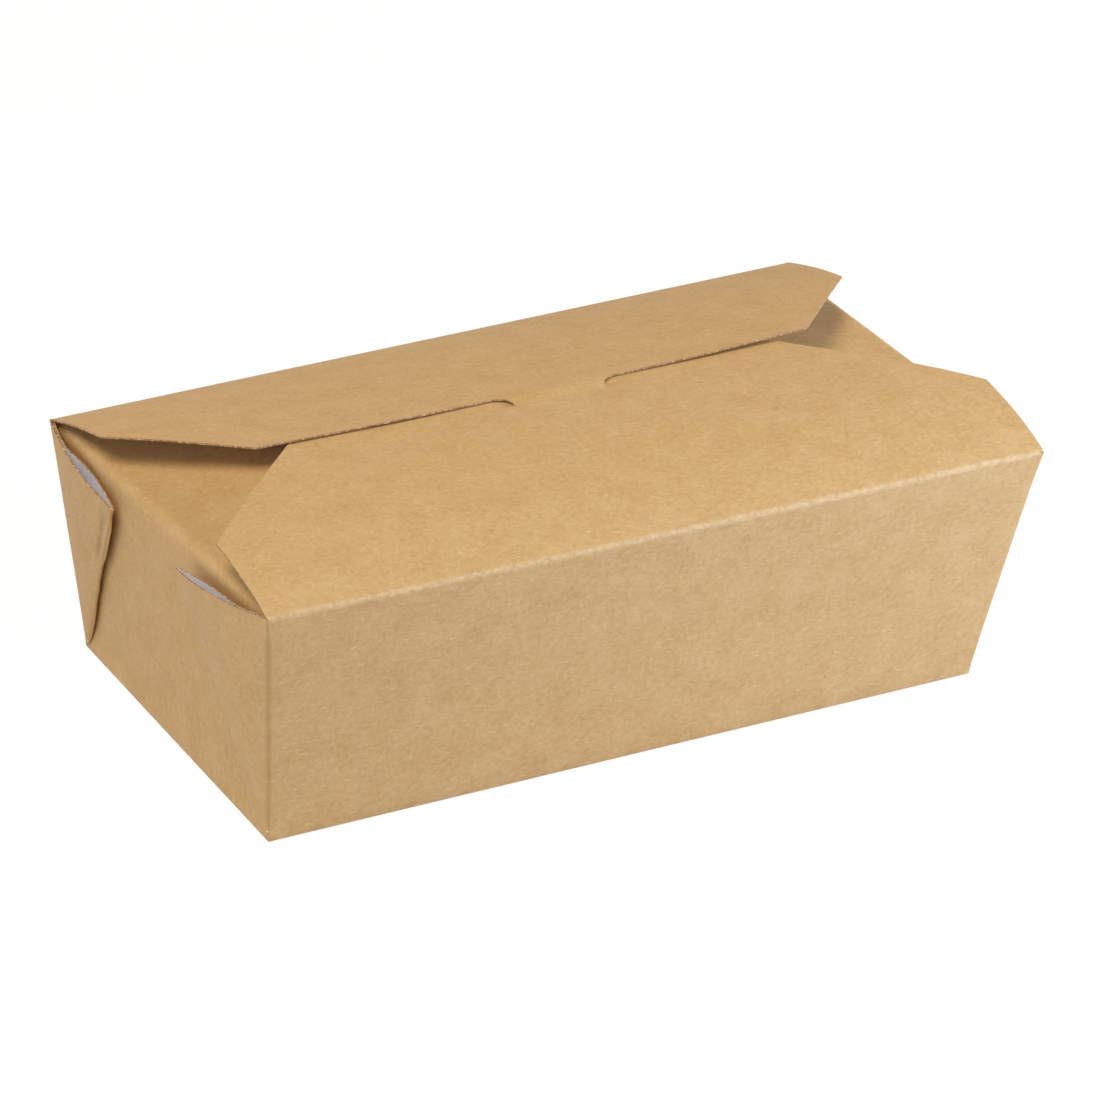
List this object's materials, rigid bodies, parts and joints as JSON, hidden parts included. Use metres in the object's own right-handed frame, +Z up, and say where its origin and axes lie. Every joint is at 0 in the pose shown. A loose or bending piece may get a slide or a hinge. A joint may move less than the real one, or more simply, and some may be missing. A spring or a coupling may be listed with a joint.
{
  "type": "takeaway box",
  "caption": "Folded kraft board takeaway box with leaning walls, webbed corners and an arched lid of overlapping flaps locked by a tab in a slot.",
  "frame": {"origin": "middle of the base, on the surface that the box rests on", "axes": "+X along the length of the box, +Y from the front wall to the rear wall with the hinged flap, +Z up"},
  "size_m": [0.2112, 0.1218, 0.0742],
  "materials": {
    "kraft_board": "matt uncoated kraft face, white inside",
    "kraft_board_flap": "matt uncoated kraft face, white inside"
  },
  "bodies": {
    "carton": {"carton": "kraft_board"},
    "rear_flap": {"rear_flap": "kraft_board_flap"}
  },
  "joints": [
    {"name": "rear_flap_hinge", "type": "hinge", "parent": "carton", "child": "rear_flap", "pos_m": [0, 0.06078, 0.06277], "axis": [-1, 0, 0], "range_deg": [0, 160]}
  ]
}
